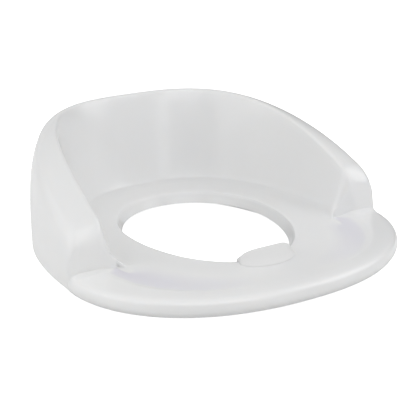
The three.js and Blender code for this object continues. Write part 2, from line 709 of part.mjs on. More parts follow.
function yoke() {
  const teeth = rackPoints(PINION_Y - Math.PI * MODULE_MM, YOKE_REAR_Y);
  const inSlot = teeth.filter(([, y]) => y > SLOT_FRONT_Y + 0.5 && y < YOKE_REAR_Y - 0.3);
  const armBack = (x) => LEG_BACK_Y - 1 - (LEG_X - x) * YOKE_ARM_SLOPE;
  const outline = [
    [-YOKE_HALF, YOKE_FRONT_Y], [YOKE_HALF, YOKE_FRONT_Y], [YOKE_HALF, YOKE_SHOULDER_Y],
    [LEG_X + LEG_HALF, LEG_BACK_Y - LEG_DEPTH], [LEG_X + LEG_HALF, LEG_BACK_Y],
    [LEG_X - LEG_HALF, armBack(LEG_X - LEG_HALF)], [YOKE_HALF, YOKE_REAR_Y + 1.5],
    [RACK_X, YOKE_REAR_Y],
    ...[...inSlot].reverse(),
    [RACK_X, SLOT_FRONT_Y], [-SLOT_HALF, SLOT_FRONT_Y], [-SLOT_HALF, YOKE_REAR_Y],
    [-YOKE_HALF, YOKE_REAR_Y + 1.5], [-(LEG_X - LEG_HALF), armBack(LEG_X - LEG_HALF)],
    [-(LEG_X + LEG_HALF), LEG_BACK_Y], [-(LEG_X + LEG_HALF), LEG_BACK_Y - LEG_DEPTH],
    [-YOKE_HALF, YOKE_SHOULDER_Y],
  ].map(([x, y]) => new THREE.Vector2(x, y));
  const body = toSolid(extrude(outline, YOKE_Z, YOKE_T));
  const legs = [-1, 1].map((side) => box(
    2 * (LEG_HALF - SHOE_WALL - GAP), LEG_DEPTH - 2 * SHOE_WALL, YOKE_Z + 1 - LEG_LOW_Z,
    side * LEG_X, LEG_BACK_Y - LEG_DEPTH / 2, LEG_LOW_Z));
  return toGeometry(addAll(body, legs));
}

piece('adjuster_yoke', yoke(), whitePolymer());

// Soft shoe over each foot of the yoke, closed below and open above.
function shoe(side) {
  const x = side * LEG_X;
  const y = LEG_BACK_Y - LEG_DEPTH / 2;
  const outer = toSolid(box(2 * LEG_HALF, LEG_DEPTH, SHOE_H, x, y, SHOE_Z));
  const roundFront = toSolid(cylinder(LEG_HALF + 4, SHOE_Z, SHOE_H, x, y + 8.5, 40));
  const wide = 2 * (LEG_HALF - SHOE_WALL);
  const deep = LEG_DEPTH - 2 * SHOE_WALL + 2 * GAP;
  const pocket = box(wide, deep, SHOE_H + 1, x, y, LEG_LOW_Z - GAP);
  return toGeometry(outer.intersect(roundFront).subtract(toSolid(pocket)));
}

piece('foot_shoe_right', shoe(1), greyRubber());
piece('foot_shoe_left', shoe(-1), greyRubber());

// Cover over the yoke: a plate on two side walls that guide the yoke and take the screws from below.
const GUIDE_FRONT_Y = -157;
const GUIDE_DEPTH = 17;
const GUIDE_W = 6.8;
const COVER_REACH = 10;         // the plate runs this far behind the walls, over the pinion

function guideCover() {
  const middle = GUIDE_FRONT_Y + GUIDE_DEPTH / 2;
  const wallX = YOKE_HALF + 0.4 + GUIDE_W / 2;
  const width = 2 * wallX + GUIDE_W;
  const top = toSolid(box(width, GUIDE_DEPTH + COVER_REACH, COVER_T, 0, middle + COVER_REACH / 2, COVER_Z));
  const walls = [-1, 1].map((side) => (
    box(GUIDE_W, GUIDE_DEPTH, COVER_Z + 0.5 - YOKE_Z, side * wallX, middle, YOKE_Z)));
  const pilots = [-1, 1].map((side) => (
    cylinder(SCREW_R + GAP, YOKE_Z - 1, 6.4, side * COVER_SCREW_X, COVER_SCREW_Y, 12)));
  return toGeometry(cutAll(addAll(top, walls), [...pilots, cylinder(2.3, COVER_Z - 1, 4, 0, PINION_Y, 20)]));
}

piece('guide_cover', guideCover(), whitePolymer());

for (const [name, side] of [['right', 1], ['left', -1]]) {
  piece(`cover_screw_${name}`, screw(8.5), steel(), side * COVER_SCREW_X, COVER_SCREW_Y, SCREW_Z);
}

// Leaf spring that clicks in the knob's ribs.
const SPRING_HALF = 16;
const SPRING_T = 0.5;
const SPRING_H = 4.5;
const SPRING_Z = 8;
const CLICK_HALF = 3;
const CLICK_DEPTH = 1.1;

function detentSpring() {
  const y = SPRING_Y;
  const face = [[-SPRING_HALF, y], [-CLICK_HALF, y], [0, y - CLICK_DEPTH], [CLICK_HALF, y], [SPRING_HALF, y]];
  const back = face.map(([x, faceY]) => [x, faceY + SPRING_T]).reverse();
  const points = [...face, ...back].map(([x, pointY]) => new THREE.Vector2(x, pointY));
  return extrude(points, SPRING_Z, SPRING_H);
}

piece('detent_spring', detentSpring(), steel());

export default part;
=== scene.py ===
import json
import math
from collections import namedtuple

import bmesh
import bpy
import numpy as np
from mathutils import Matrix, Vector


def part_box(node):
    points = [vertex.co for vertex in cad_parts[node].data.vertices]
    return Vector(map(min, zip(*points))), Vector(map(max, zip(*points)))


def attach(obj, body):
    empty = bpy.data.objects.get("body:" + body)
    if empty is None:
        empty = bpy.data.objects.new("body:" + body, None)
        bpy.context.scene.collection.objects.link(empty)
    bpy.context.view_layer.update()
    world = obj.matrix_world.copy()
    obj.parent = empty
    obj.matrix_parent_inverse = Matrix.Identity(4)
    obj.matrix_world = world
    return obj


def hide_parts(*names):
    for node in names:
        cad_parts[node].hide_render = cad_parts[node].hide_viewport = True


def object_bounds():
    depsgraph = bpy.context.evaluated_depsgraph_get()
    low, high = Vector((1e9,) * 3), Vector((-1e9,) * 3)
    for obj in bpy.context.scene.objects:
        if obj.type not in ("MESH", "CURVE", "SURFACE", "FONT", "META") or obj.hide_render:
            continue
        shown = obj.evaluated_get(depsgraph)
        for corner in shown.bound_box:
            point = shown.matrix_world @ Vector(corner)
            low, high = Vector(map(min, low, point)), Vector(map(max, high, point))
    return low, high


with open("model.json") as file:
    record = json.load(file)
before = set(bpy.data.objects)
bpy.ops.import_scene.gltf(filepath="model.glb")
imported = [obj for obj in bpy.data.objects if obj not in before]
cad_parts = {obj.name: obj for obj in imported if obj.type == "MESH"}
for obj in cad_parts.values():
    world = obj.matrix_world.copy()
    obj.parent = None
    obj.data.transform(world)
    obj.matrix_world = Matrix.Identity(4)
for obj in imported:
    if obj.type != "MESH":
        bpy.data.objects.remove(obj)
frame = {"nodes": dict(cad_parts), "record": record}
cad_low, cad_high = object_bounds()

# The frame is in metres; the shapes below are worked out in millimetres.
MM = 0.001
RADIANS = math.pi / 180
QUARTER_TURN = math.pi / 2
WHITE = (1, 1, 1, 1)

# ---- camera ----

CAMERA_AZIMUTH = -31.63
CAMERA_ELEVATION = 19.99
CAMERA_DISTANCE = 1.0
CAMERA_TARGET = Vector((-0.0173, -0.02935, 0.0563))
CAMERA_LENS = 94.46
CAMERA_SENSOR = 36


def direction(azimuth, elevation):
    """Unit vector, from angles in degrees; azimuth 0 is in front of the seat and 90 at its +X side."""
    a, e = azimuth * RADIANS, elevation * RADIANS
    return Vector((math.sin(a) * math.cos(e), -math.cos(a) * math.cos(e), math.sin(e)))


def add_camera():
    data = bpy.data.cameras.new("camera")
    data.lens = CAMERA_LENS
    data.sensor_width = CAMERA_SENSOR
    camera = bpy.data.objects.new("camera", data)
    bpy.context.collection.objects.link(camera)
    away = direction(CAMERA_AZIMUTH, CAMERA_ELEVATION)
    camera.location = CAMERA_TARGET + away * CAMERA_DISTANCE
    camera.rotation_euler = away.to_track_quat("Z", "Y").to_euler()
    bpy.context.scene.camera = camera


# ---- sky, soft panels and floor ----

# Grey of the sky at places on a scale from straight down (0) to straight up (1); the horizon is 0.5.
SKY = ((0.5, 0.05), (0.75, 0.48), (1.0, 0.52))
PAPER_WHITE = 1.05

# Soft panels: azimuth and elevation in degrees, distance, (width, height) in metres, power in watts.
PANEL_AIM = Vector((0, -0.02, 0.06))
PANELS = {
    "left_panel": (-85, 28, 1.3, (1.1, 1.1), 4.0),
    "rear_left_panel": (-118, 14, 1.3, (1.0, 0.8), 1.9),
    "front_panel": (-15, 42, 1.4, (1.2, 0.9), 4.9),
    "back_panel": (180, 9, 2.2, (3.4, 1.2), 5.6),
    "narrow_panel": (12, 14, 1.4, (0.34, 0.62), 0.8),
    "right_panel": (60, 30, 1.4, (0.9, 0.9), 4.6),
}

FLOOR_SIZE = 12
FLOOR_GAP = 0.0004
FLOOR_TONE = 0.66
FLOOR_ROUGHNESS = 0.9
FLOOR_SPECULAR = 0.1
FLOOR_SHEEN = 0.40      # how brightly the floor shows in reflections


def grey(tone):
    return (tone, tone, tone, 1)


def add_world():
    """A grey sky that lights the seat, behind a plain white that only the camera sees."""
    world = bpy.data.worlds.new("studio")
    bpy.context.scene.world = world
    world.use_nodes = True
    nodes, links = world.node_tree.nodes, world.node_tree.links
    nodes.clear()
    output = nodes.new("ShaderNodeOutputWorld")
    seen = nodes.new("ShaderNodeBackground")
    seen.inputs["Color"].default_value = WHITE
    seen.inputs["Strength"].default_value = PAPER_WHITE
    lit = nodes.new("ShaderNodeBackground")
    ramp = nodes.new("ShaderNodeValToRGB")
    ramp.color_ramp.elements.new(SKY[1][0])
    for element, (place, tone) in zip(ramp.color_ramp.elements, SKY):
        element.position = place
        element.color = grey(tone)
    coords = nodes.new("ShaderNodeTexCoord")
    split = nodes.new("ShaderNodeSeparateXYZ")
    upward = nodes.new("ShaderNodeMapRange")
    upward.inputs["From Min"].default_value = -1
    links.new(coords.outputs["Generated"], split.inputs["Vector"])
    links.new(split.outputs["Z"], upward.inputs["Value"])
    links.new(upward.outputs["Result"], ramp.inputs["Fac"])
    links.new(ramp.outputs["Color"], lit.inputs["Color"])
    path = nodes.new("ShaderNodeLightPath")
    mix = nodes.new("ShaderNodeMixShader")
    links.new(path.outputs["Is Camera Ray"], mix.inputs["Fac"])
    links.new(lit.outputs["Background"], mix.inputs[1])
    links.new(seen.outputs["Background"], mix.inputs[2])
    links.new(mix.outputs["Shader"], output.inputs["Surface"])


def add_panels():
    """Soft panels round the seat; the dark gap between two of them shows as a band on the back wall."""
    for name, (azimuth, elevation, distance, (width, height), power) in PANELS.items():
        away = direction(azimuth, elevation)
        data = bpy.data.lights.new(name, "AREA")
        data.shape = "RECTANGLE"
        data.size, data.size_y = width, height
        data.energy = power
        light = bpy.data.objects.new(name, data)
        bpy.context.collection.objects.link(light)
        light.location = PANEL_AIM + distance * away
        light.rotation_euler = away.to_track_quat("Z", "Y").to_euler()


def add_floor():
    """A pale sheet that the camera sees as paper white from above, and looks through from below."""
    bpy.ops.mesh.primitive_plane_add(size=FLOOR_SIZE, location=(0, 0, cad_low[2] - FLOOR_GAP))
    floor = bpy.context.object
    floor.name = "floor"
    material = bpy.data.materials.new("floor_paper")
    material.use_nodes = True
    nodes, links = material.node_tree.nodes, material.node_tree.links
    shader = nodes["Principled BSDF"]
    shader.inputs["Base Color"].default_value = grey(FLOOR_TONE)
    shader.inputs["Roughness"].default_value = FLOOR_ROUGHNESS
    shader.inputs["Specular IOR Level"].default_value = FLOOR_SPECULAR
    shader.inputs["Emission Color"].default_value = WHITE
    path = nodes.new("ShaderNodeLightPath")
    glow = nodes.new("ShaderNodeMath")
    glow.operation = "MULTIPLY_ADD"
    glow.inputs[1].default_value = FLOOR_SHEEN
    links.new(path.outputs["Is Glossy Ray"], glow.inputs[0])
    links.new(path.outputs["Is Camera Ray"], glow.inputs[2])
    links.new(glow.outputs["Value"], shader.inputs["Emission Strength"])
    side = nodes.new("ShaderNodeNewGeometry")
    below = nodes.new("ShaderNodeMath")
    below.operation = "MULTIPLY"
    links.new(side.outputs["Backfacing"], below.inputs[0])
    links.new(path.outputs["Is Camera Ray"], below.inputs[1])
    clear = nodes.new("ShaderNodeBsdfTransparent")
    mix = nodes.new("ShaderNodeMixShader")
    links.new(below.outputs["Value"], mix.inputs["Fac"])
    links.new(shader.outputs["BSDF"], mix.inputs[1])
    links.new(clear.outputs["BSDF"], mix.inputs[2])
    links.new(mix.outputs["Shader"], nodes["Material Output"].inputs["Surface"])
    floor.data.materials.append(material)


# ---- materials ----

# The part of a noise's range that a remap stretches, and the part of Pointiness that counts as an edge.
NOISE_RANGE = (0.3, 0.7)
EDGE_RANGE = (0.52, 0.62)

# Painted shade, with a bluish painted reflection, in the valley in front of the arms.
PAINTED_SHADE_TOP = 0.6                  # millimetres below the lip at which it has faded out
PAINTED_SHADE_BACK = (-0.02, 0.02)       # metres along Y, from its full strength to none
PAINTED_SHADE_FACING = (0.965, 0.99)     # the normal's Z, from no painted shade to its full strength


class Surface:
    """A Principled material with a few helpers for its nodes."""

    def __init__(self, name, metallic=0.0):
        self.material = bpy.data.materials.new(name)
        self.material.use_nodes = True
        self.nodes = self.material.node_tree.nodes
        self.links = self.material.node_tree.links
        self.shader = self.nodes["Principled BSDF"]
        self.shader.inputs["Metallic"].default_value = metallic
        self.coords = self.nodes.new("ShaderNodeTexCoord").outputs["Object"]

    def noise(self, scale, detail, stretch=(1, 1, 1)):
        mapping = self.nodes.new("ShaderNodeMapping")
        mapping.inputs["Scale"].default_value = stretch
        self.links.new(self.coords, mapping.inputs["Vector"])
        noise = self.nodes.new("ShaderNodeTexNoise")
        noise.inputs["Scale"].default_value = scale
        noise.inputs["Detail"].default_value = detail
        self.links.new(mapping.outputs["Vector"], noise.inputs["Vector"])
        return noise.outputs["Fac"]

    def remap(self, value, low, high, source=NOISE_RANGE):
        node = self.nodes.new("ShaderNodeMapRange")
        node.inputs["From Min"].default_value = source[0]
        node.inputs["From Max"].default_value = source[1]
        node.inputs["To Min"].default_value = low
        node.inputs["To Max"].default_value = high
        self.links.new(value, node.inputs["Value"])
        return node.outputs["Result"]

    def multiply(self, a, b):
        node = self.nodes.new("ShaderNodeMath")
        node.operation = "MULTIPLY"
        self.links.new(a, node.inputs[0])
        self.links.new(b, node.inputs[1])
        return node.outputs["Value"]

    def mix(self, factor, a, b):
        node = self.nodes.new("ShaderNodeMix")
        node.data_type = "RGBA"
        self.links.new(factor, node.inputs["Factor"])
        for socket, value in ((node.inputs["A"], a), (node.inputs["B"], b)):
            if isinstance(value, tuple):
                socket.default_value = (*value, 1)
            else:
                self.links.new(value, socket)
        return node.outputs["Result"]

    def clouded(self, light, shade, scale, detail):
        """Two tones mixed by a soft noise."""
        return self.mix(self.remap(self.noise(scale, detail), 0.0, 1.0), light, shade)

    def worn(self, base, light, gain, strength):
        """A lighter tone where the surface is sharply curved."""
        geometry = self.nodes.new("ShaderNodeNewGeometry")
        edge = self.remap(geometry.outputs["Pointiness"], 0.0, strength, EDGE_RANGE)
        return self.mix(edge, base, tuple(min(1, c * gain) for c in light))

    def set_color(self, output):
        self.links.new(output, self.shader.inputs["Base Color"])

    def set_roughness(self, noise, low, high):
        self.links.new(self.remap(noise, low, high), self.shader.inputs["Roughness"])

    def set_bump(self, noise, strength, depth):
        node = self.nodes.new("ShaderNodeBump")
        node.inputs["Strength"].default_value = strength
        node.inputs["Distance"].default_value = depth
        self.links.new(noise, node.inputs["Height"])
        self.links.new(node.outputs["Normal"], self.shader.inputs["Normal"])


def pearl_plastic(name, light, shade, painted_valley_shade=None):
    """Glossy, slightly translucent white moulding with faint flow clouding and a fine orange-peel skin."""
    s = Surface(name)
    color = s.clouded(light, shade, 9, 1)
    # A third tone, where given, is painted bluish shade, mixed into the valley in front of the arms.
    if painted_valley_shade:
        color = s.mix(painted_shade_mask(s), color, painted_valley_shade)
    s.set_color(color)
    s.set_roughness(s.noise(26, 2, (1, 1, 2.2)), 0.30, 0.38)
    s.set_bump(s.noise(420, 2), 0.05, 0.0002)
    s.shader.inputs["Coat Weight"].default_value = 0.5
    s.shader.inputs["Coat Roughness"].default_value = 0.1
    s.shader.inputs["Subsurface Weight"].default_value = 0.35
    s.shader.inputs["Subsurface Radius"].default_value = (0.006, 0.0055, 0.005)
    s.shader.inputs["Subsurface Scale"].default_value = 1.0
    return s.material


def painted_shade_mask(s):
    """Where the painted shade goes: the bottom of the valley in front of the arms, low on the ring, toward
    the front and facing up.
    """
    place = s.nodes.new("ShaderNodeSeparateXYZ")
    s.links.new(s.coords, place.inputs["Vector"])
    facing = s.nodes.new("ShaderNodeSeparateXYZ")
    s.links.new(s.nodes.new("ShaderNodeTexCoord").outputs["Normal"], facing.inputs["Vector"])
    heights = ((LIP_Z - VALLEY_DEPTH) * MM, (LIP_Z - PAINTED_SHADE_TOP) * MM)
    low = s.remap(place.outputs["Z"], 1.0, 0.0, heights)
    front = s.remap(place.outputs["Y"], 1.0, 0.0, PAINTED_SHADE_BACK)
    up = s.remap(facing.outputs["Z"], 0.0, 1.0, PAINTED_SHADE_FACING)
    return s.multiply(s.multiply(low, front), up)


def textured_plastic(name, light, shade):
    """Matt moulded polymer with a fine spark-eroded texture and paler edges."""
    s = Surface(name)
    s.set_color(s.worn(s.clouded(light, shade, 30, 4), light, 1.12, 0.35))
    s.set_roughness(s.noise(160, 3), 0.46, 0.64)
    s.set_bump(s.noise(1500, 2), 0.25, 0.0002)
    return s.material


def soft_rubber(name, light, shade):
    """Matt soft elastomer with a bloom, fine pitting and edges rubbed paler."""
    s = Surface(name)
    s.set_color(s.worn(s.clouded(light, shade, 60, 5), light, 1.25, 0.6))
    s.set_roughness(s.noise(240, 3), 0.68, 0.88)
    s.set_bump(s.noise(1900, 2), 0.35, 0.00015)
    return s.material


def turned_steel(name, light, shade):
    """Plated steel with fine turning marks."""
    s = Surface(name, metallic=1.0)
    s.set_color(s.clouded(light, shade, 120, 4))
    s.set_roughness(s.noise(500, 2, (1, 1, 12)), 0.24, 0.42)
    s.set_bump(s.noise(2400, 1, (1, 1, 10)), 0.15, 0.0001)
    return s.material


def make_materials():
    """One material for each material slot in the record."""
    return {
        # The seat's third tone is a painted bluish shade for the valley in front of the arms.
        "seat_polymer": pearl_plastic(
            "pearl_seat", (0.905, 0.904, 0.895), (0.89, 0.89, 0.89), (0.78, 0.77, 0.83)),
        "guard_polymer": pearl_plastic("pearl_guard", (0.96, 0.957, 0.93), (0.945, 0.943, 0.92)),
        "frame_polymer": textured_plastic("frame_moulding", (0.83, 0.83, 0.82), (0.79, 0.795, 0.80)),
        "soft_grip": soft_rubber("grip_elastomer", (0.36, 0.38, 0.40), (0.30, 0.32, 0.335)),
        "fastener_steel": turned_steel("plated_steel", (0.62, 0.62, 0.63), (0.52, 0.53, 0.55)),
    }


# ---- meshes ----


def scratch_mesh(name, points, faces):
    """A new object from points in millimetres."""
    mesh = bpy.data.meshes.new(name)
    mesh.from_pydata([tuple(v) for v in np.asarray(points) * MM], [], faces)
    fix_normals(mesh)
    piece = bpy.data.objects.new(name, mesh)
    bpy.context.collection.objects.link(piece)
    return piece


def fix_normals(mesh):
    bm = bmesh.new()
    bm.from_mesh(mesh)
    bmesh.ops.recalc_face_normals(bm, faces=bm.faces)
    bm.to_mesh(mesh)
    bm.free()


def drop_slivers(mesh):
    """Merges the points that rounding leaves a few thousandths of a millimetre apart."""
    bm = bmesh.new()
    bm.from_mesh(mesh)
    bmesh.ops.remove_doubles(bm, verts=bm.verts, dist=0.004 * MM)
    bmesh.ops.dissolve_degenerate(bm, dist=0.001 * MM, edges=bm.edges)
    bm.to_mesh(mesh)
    bm.free()


def apply_modifiers(piece):
    graph = bpy.context.evaluated_depsgraph_get()
    mesh = bpy.data.meshes.new_from_object(piece.evaluated_get(graph))
    piece.modifiers.clear()
    old = piece.data
    piece.data = mesh
    bpy.data.meshes.remove(old)


def round_edges(piece, radius, angle):
    """Rounds, by radius metres, the edges that turn by more than angle degrees."""
    fix_normals(piece.data)
    modifier = piece.modifiers.new("edge", "BEVEL")
    modifier.width = radius
    modifier.segments = 2
    modifier.limit_method = "ANGLE"
    modifier.angle_limit = angle * RADIANS
    modifier.use_clamp_overlap = True
    apply_modifiers(piece)
    drop_slivers(piece.data)


def shade_smooth(piece, angle):
    """Smooth shading, with the edges that turn by more than angle degrees left sharp."""
    piece.data.shade_smooth()
    piece.data.set_sharp_from_angle(angle=angle * RADIANS)


def join_boolean(piece, others, operation):
    for other in others:
        modifier = piece.modifiers.new("cut", "BOOLEAN")
        modifier.operation = operation
        modifier.solver = "MANIFOLD"
        modifier.object = other
    apply_modifiers(piece)
    for other in others:
        bpy.data.objects.remove(other)


def cylinder(x, y, low, high, radius, sides=40):
    bpy.ops.mesh.primitive_cylinder_add(
        vertices=sides, radius=radius * MM, depth=(high - low) * MM,
        location=(x * MM, y * MM, (low + high) / 2 * MM))
    return bpy.context.object


def prism(name, outline, low, high):
    count = len(outline)
    points = [(x, y, low) for x, y in outline] + [(x, y, high) for x, y in outline]
    faces = [(k, (k + 1) % count, count + (k + 1) % count, count + k) for k in range(count)]
    faces += [tuple(range(count)), tuple(range(count, 2 * count))]
    return scratch_mesh(name, points, faces)


def lathe(name, profile, x, y, sides):
    """A closed solid turned about the upright line through x, y; the profile starts and ends on it."""
    points, faces = [(x, y, profile[0][1])], []
    for radius, z in profile[1:-1]:
        for i in range(sides):
            turn = 2 * math.pi * i / sides
            points.append((x + radius * math.cos(turn), y + radius * math.sin(turn), z))
    points.append((x, y, profile[-1][1]))
    rows, last = len(profile) - 2, len(points) - 1
    for i in range(sides):
        after = (i + 1) % sides
        faces.append((0, 1 + after, 1 + i))
        for row in range(rows - 1):
            base = 1 + row * sides
            faces.append((base + i, base + after, base + sides + after, base + sides + i))
        base = 1 + (rows - 1) * sides
        faces.append((base + i, base + after, last))
    return scratch_mesh(name, points, faces)


def fit_to_node(piece, node):
    """Scales the piece, by a fraction of a percent, so that its box is the CAD node's own."""
    bottom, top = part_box(node)
    points = np.array([v.co[:] for v in piece.data.vertices])
    low, high = points.min(0), points.max(0)
    scale = (np.array(top) - np.array(bottom)) / (high - low)
    points = np.array(bottom) + (points - low) * scale
    piece.data.vertices.foreach_set("co", points.ravel())
    piece.data.update()


def stand_in(piece, node, body, material):
    """Puts the piece in the place of a CAD node, on the node's body and with its material slot."""
    piece.data.materials.clear()
    piece.data.materials.append(material)
    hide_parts(node)
    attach(piece, body)


# ---- seat shell: the CAD node's own formula, drawn finely ----

# Plan outlines in millimetres. Each is two half ovals of one width that meet at the y called middle,
# with a reach and an exponent of their own toward the front and the back.
Oval = namedtuple("Oval", "half front back middle n_front n_back")
LIP = Oval(77.7, 109.9, 84.6, 12.9, 2, 2)
CREASE = Oval(118.7, 100, 169.4, -37.6, 2.3, 2.48)
CREST = Oval(134.7, 150, 229.8, -72.1, 2.17, 2.8)
BASE = Oval(167.3, 132.8, 197.8, -32.5, 2.23, 2.34)
SCREW_RING = Oval(97.7, 107.5, 104.6, 12.9, 2, 2)

HUB_Y = -49.5               # the sections stand round an upright line at this y
LONGEST_REACH = 400
HALVINGS = 40
WALL = 2.8
RIM_Z = 12
HOLE_BOTTOM_Z = 17
HOLE_DRAFT = 4.6
LIP_Z = 27.8
PLATE_TOP = 16.6            # top of the frame's plate under the ring
GAP = 0.3

CREST_FRONT_Z = 64.6
CREST_BACK_Z = 121.5
CREST_POWER = 0.88
DOME_POWER = 3.85
DOME_ANGLES = (18, 36, 54, 70, 84)
FOOT_ROLL = 2.4

VALLEY_DEPTH = 3.4
VALLEY_FADE = 1.5
RING_BLEND = 24

ARM_REACH = 145             # distance from the hub at which the arm's front face is set out
ARM_RADIUS = 14
ARM_FOOT = 3
ARM_LEAN = 1.5
ARM_CORNER = 6
OUTER_CORNER = 0.9          # share of ARM_CORNER at the arm's outer edge

# Columns along one side, before they are made finer: front rim, arm's foot, face and top, and back.
FRONT_COLUMNS, FOOT_COLUMNS, FACE_COLUMNS, TOP_COLUMNS, BACK_COLUMNS = 15, 3, 2, 4, 18
FRONT_END_ANGLE = -0.075
FRONT_CROWDING = 0.92
COLUMN_FINENESS = 4
SPLINE_STEPS = 5

# Knots are counted from the hole's bottom edge.
FIRST_WALL_KNOT = 7
LAST_FACE_KNOT = 17
FACE_CLIMB = 2
FACE_FALL = 3
INNER_CORNER_FADE = 3.5
OUTER_CORNER_KNOTS = (12, 16.5)

SCREW_ANGLES = (-38, 8, 52, 128, 172, 218)
BOSS_LOW_Z = PLATE_TOP + GAP
BOSS_HIGH_Z = LIP_Z - 1
BOSS_R = 4
PILOT_R = 1.75
PILOT_DEPTH = 8
RIB_ANGLES = (30, 72, 90, 108, 150)
RIB_T = 1.8
RIB_FROM_LIP = 3.5
RIB_FROM_CREASE = 4


def reach(oval, angle):
    """Distance from the hub to the oval, found by halving."""
    low, high = 0.0, LONGEST_REACH
    for _ in range(HALVINGS):
        mid = (low + high) / 2
        x, y = mid * math.cos(angle), HUB_Y + mid * math.sin(angle)
        in_front = y < oval.middle
        depth, n = (oval.front, oval.n_front) if in_front else (oval.back, oval.n_back)
        inside = abs(x / oval.half) ** n + abs((y - oval.middle) / depth) ** n < 1
        low, high = (mid, high) if inside else (low, mid)
    return low


def oval_point(oval, angle, grow=0.0):
    """A point on the oval, or on one that is larger all round."""
    c, s = math.cos(angle), math.sin(angle)
    depth, n = (oval.front, oval.n_front) if s < 0 else (oval.back, oval.n_back)
    x = (oval.half + grow) * math.copysign(abs(c) ** (2 / n), c)
    y = oval.middle + (depth + grow) * math.copysign(abs(s) ** (2 / n), s)
    return x, y


def crest_height(y):
    """Height of the top edge, which climbs from the arms to the back."""
    back_y = CREST.middle + CREST.back
    along = min(1, max(0, (y - HUB_Y) / (back_y - HUB_Y)))
    climb = math.sin(along * QUARTER_TURN) ** CREST_POWER
    return CREST_FRONT_Z + (CREST_BACK_Z - CREST_FRONT_Z) * climb


# A section's knots are (distance from the hub, height), from the hole's bottom edge over the top to the
# rim's foot. In the knot functions lip, crease, crest and base are the outlines' distances.


def lip_knots(lip):
    return [(lip - HOLE_DRAFT, HOLE_BOTTOM_Z), (lip - 1.6, 22.5), (lip + 0.4, 26.4), (lip + 3.6, LIP_Z)]


def foot_knots(base):
    return [(base - 0.3, RIM_Z + 3.5), (base - FOOT_ROLL, RIM_Z)]


def wall_knots(lip, crease, crest, base, top):
    """A section through the back: over the ring, up the inner wall, over the crest and down outside."""
    rise = top - LIP_Z
    knots = lip_knots(lip) + [
        (lip + 0.5 * (crease - lip), LIP_Z + 0.3),
        (crease - 10, LIP_Z + 0.6),
        (crease - 3.6, LIP_Z + 2),
        (crease + 0.6, LIP_Z + 6),
        (crease + 0.3 * (crest - crease), LIP_Z + 0.32 * rise),
        (crease + 0.62 * (crest - crease), LIP_Z + 0.7 * rise),
        (crest - 3.8, top - 5.5),
        (crest, top),
    ]
    for degrees in DOME_ANGLES:
        turn = degrees * RADIANS
        out = math.sin(turn) ** (2 / DOME_POWER)
        up = math.cos(turn) ** (2 / DOME_POWER)
        knots.append((crest + (base - crest) * out, RIM_Z + (top - RIM_Z) * up))
    return knots + foot_knots(base)


def front_knots(lip, crease, base, dip):
    """A section through the open front: over the ring, through the valley and over the rim."""
    rim = LIP_Z - 0.2
    return lip_knots(lip) + [
        (lip + 0.35 * (crease - lip), LIP_Z + 0.1),
        (lip + 0.6 * (crease - lip), LIP_Z - 0.25 * dip),
        (lip + 0.84 * (crease - lip), LIP_Z - 0.85 * dip),
        (crease + 1, LIP_Z - dip),
        (crease + 0.22 * (base - crease), LIP_Z - 0.75 * dip),
        (crease + 0.4 * (base - crease), rim - 0.1 * dip),
        (crease + 0.55 * (base - crease), rim),
        (base - 11, rim - 0.1),
        (base - 6.5, rim - 0.5),
        (base - 3.2, rim - 1.6),
        (base - 1, rim - 4),
        (base, RIM_Z + 7.5),
    ] + foot_knots(base)


def side_columns(fine):
    """(angle, wall share, facing) from the front centre line round one side to the back.

    The wall share goes from 0 at the open front to 1 where the wall has its full height. Facing goes
    from 0 to 1 and tells how far the surface there is the arm's front face.
    """
    arm_rise = CREST_FRONT_Z - LIP_Z
    face_low, face_high = ARM_FOOT / arm_rise, 1 - ARM_RADIUS / arm_rise
    columns = []

    def arm_column(y, wall, facing):
        columns.append((math.atan2(y, ARM_REACH), wall, facing))

    for i in range(FRONT_COLUMNS * fine + 1):
        share = (i / (FRONT_COLUMNS * fine)) ** FRONT_CROWDING
        columns.append((-QUARTER_TURN + (QUARTER_TURN + FRONT_END_ANGLE) * share, 0.0, 0.0))
    for i in range(1, FOOT_COLUMNS * fine):
        turn = i / (FOOT_COLUMNS * fine) * QUARTER_TURN
        arm_column(-(ARM_FOOT + 1) * math.cos(turn), face_low * (1 - math.cos(turn)), math.sin(turn))
    arm_column(0, face_low, 1)
    for i in range(1, FACE_COLUMNS * fine):
        share = i / (FACE_COLUMNS * fine)
        arm_column(ARM_LEAN * share, face_low + (face_high - face_low) * share, 1)
    for i in range(TOP_COLUMNS * fine + 1):
        turn = i / (TOP_COLUMNS * fine) * QUARTER_TURN
        y = ARM_LEAN + ARM_RADIUS * (1 - math.cos(turn))
        arm_column(y, 1 - ARM_RADIUS / arm_rise * (1 - math.sin(turn)), math.cos(turn))
    first_back = columns[-1][0]
    for i in range(1, BACK_COLUMNS * fine + 1):
        share = i / (BACK_COLUMNS * fine)
        columns.append((first_back + (QUARTER_TURN - first_back) * share, 1.0, 0.0))
    return columns


def spline(knots, steps):
    """Catmull-Rom points through the knots."""
    points = np.array(knots, float)
    ends = np.vstack([2 * points[0] - points[1], points, 2 * points[-1] - points[-2]])
    out = []
    for k in range(len(points) - 1):
        p0, p1, p2, p3 = ends[k:k + 4]
        for i in range(steps):
            u = i / steps
            out.append(0.5 * (2 * p1 + (p2 - p0) * u + (2 * p0 - 5 * p1 + 4 * p2 - p3) * u * u
                              + (3 * p1 - p0 - 3 * p2 + p3) * u ** 3))
    out.append(points[-1])
    return np.array(out)


def smooth(x, low, high):
    x = min(1, max(0, (x - low) / (high - low)))
    return x * x * (3 - 2 * x)


def face_share(k):
    """How far knot k belongs to the arm's front face."""
    climb = min(1, max(0, (k - FIRST_WALL_KNOT + 1) / FACE_CLIMB))
    fall = min(1, max(0, (LAST_FACE_KNOT - k) / FACE_FALL))
    return min(climb, fall)


def corner_share(k):
    """How far knot k is drawn back to round the arm's inner and outer corners."""
    inner = smooth(k, FIRST_WALL_KNOT - 1, FIRST_WALL_KNOT)
    inner *= 1 - smooth(k, FIRST_WALL_KNOT, FIRST_WALL_KNOT + INNER_CORNER_FADE)
    return max(inner, OUTER_CORNER * smooth(k, *OUTER_CORNER_KNOTS))


